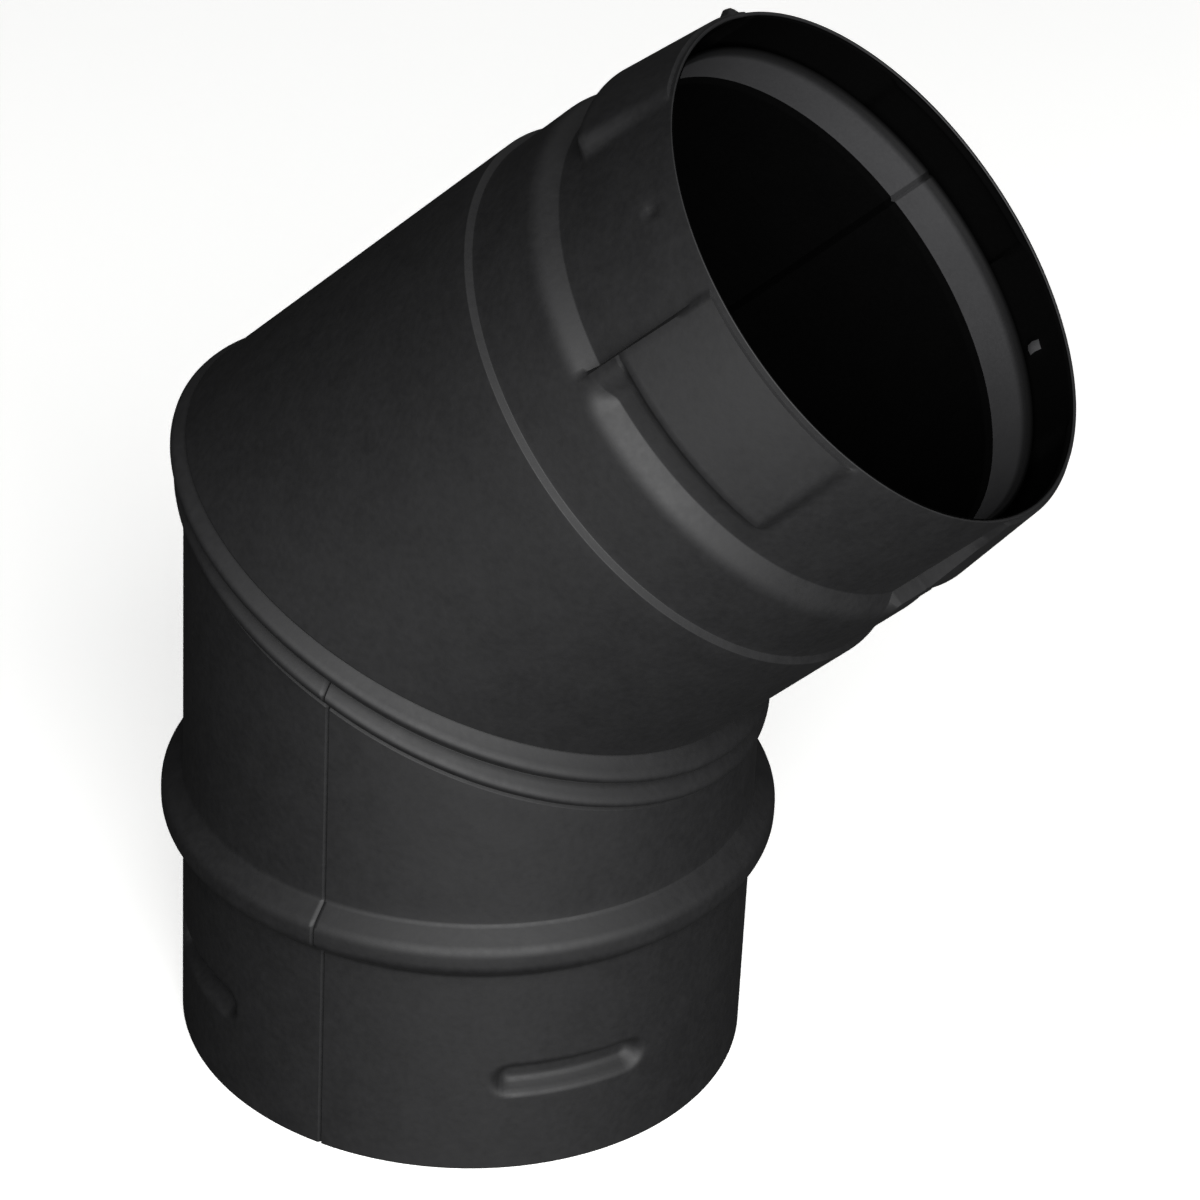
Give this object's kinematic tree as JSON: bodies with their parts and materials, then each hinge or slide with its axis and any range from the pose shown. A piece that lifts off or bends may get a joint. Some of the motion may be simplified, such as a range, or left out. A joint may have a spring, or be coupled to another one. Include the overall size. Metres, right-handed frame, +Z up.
{
  "type": "flue elbow",
  "caption": "Black twin-wall 45 degree stove flue elbow with a twist-lock socket below, a twist-lock spigot above and a rolled mitre seam.",
  "frame": {"origin": "centre of the lower rim (female end), on the lower leg's axis", "axes": "+Z up the lower leg; the bend leans towards +X, so the upper leg's axis is 45 degrees from +Z towards +X; +Y completes the frame"},
  "size_m": [0.1369, 0.0956, 0.1757],
  "materials": {
    "painted_casing": "matt black high-temperature paint on sheet steel",
    "liner_steel": "heat-darkened stainless liner",
    "sealant": "matt high-temperature sealant",
    "seal_rubber": "satin silicone seal",
    "clip_steel": "plain spring steel strip"
  },
  "bodies": {
    "root": {"outer_lower_shell": "painted_casing", "outer_upper_shell": "painted_casing", "liner_lower": "liner_steel", "liner_upper": "liner_steel", "liner_seam_sealant": "sealant", "socket_seal_ring": "seal_rubber", "lower_spacer_clip_1": "clip_steel", "lower_spacer_clip_2": "clip_steel", "lower_spacer_clip_3": "clip_steel", "upper_spacer_clip_1": "clip_steel", "upper_spacer_clip_2": "clip_steel", "upper_spacer_clip_3": "clip_steel"}
  },
  "joints": []
}
